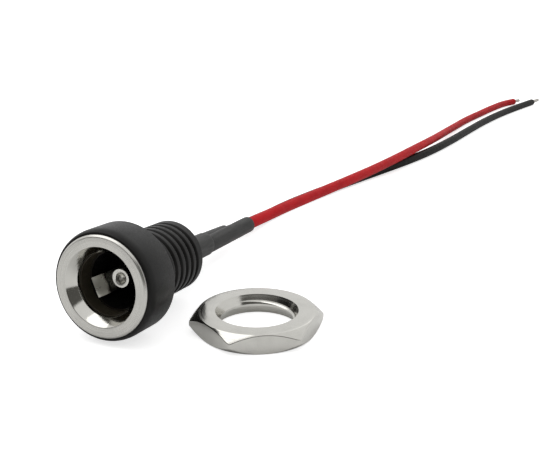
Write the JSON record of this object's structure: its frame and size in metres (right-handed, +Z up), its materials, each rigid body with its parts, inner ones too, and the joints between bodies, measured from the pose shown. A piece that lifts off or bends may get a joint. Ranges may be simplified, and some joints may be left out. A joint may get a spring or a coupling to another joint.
{
  "type": "dc barrel jack",
  "caption": "Panel-mount DC power jack: black head with a metal funnel ring, threaded barrel, centre pin, sleeved red and black leads with bare ends, and its loose hexagon nut.",
  "frame": {"origin": "on the floor, under the middle of the jack and its nut together, measured without the sleeves and wires", "axes": "+Z up from the floor; -Y the way the plug opening faces, with the jack's axis dipping 4.8 degrees towards +Y; +X from the jack to the loose nut"},
  "size_m": [0.0265, 0.162, 0.0114],
  "materials": {
    "moulding": "satin black moulded plastic",
    "nickel": "nickel plate, satin turned faces and polished chamfers",
    "insulator": "matt black",
    "contact": "tin and nickel plated contact metal",
    "solder": "dull bright solder",
    "shrink": "matt heat-shrink tube",
    "red_pvc": "satin red PVC insulation",
    "black_pvc": "satin black PVC insulation",
    "strand": "tinned twisted strands"
  },
  "bodies": {
    "root": {"housing": "moulding", "metal_ring": "nickel", "contact_carrier": "insulator", "centre_pin": "contact", "centre_lug": "contact", "spring_contact": "contact", "centre_solder": "solder", "tab_solder": "solder", "red_sleeve": "shrink", "black_sleeve": "shrink", "red_wire": "red_pvc", "black_wire": "black_pvc", "red_wire_end": "strand", "black_wire_end": "strand", "mounting_nut": "nickel"}
  },
  "joints": []
}
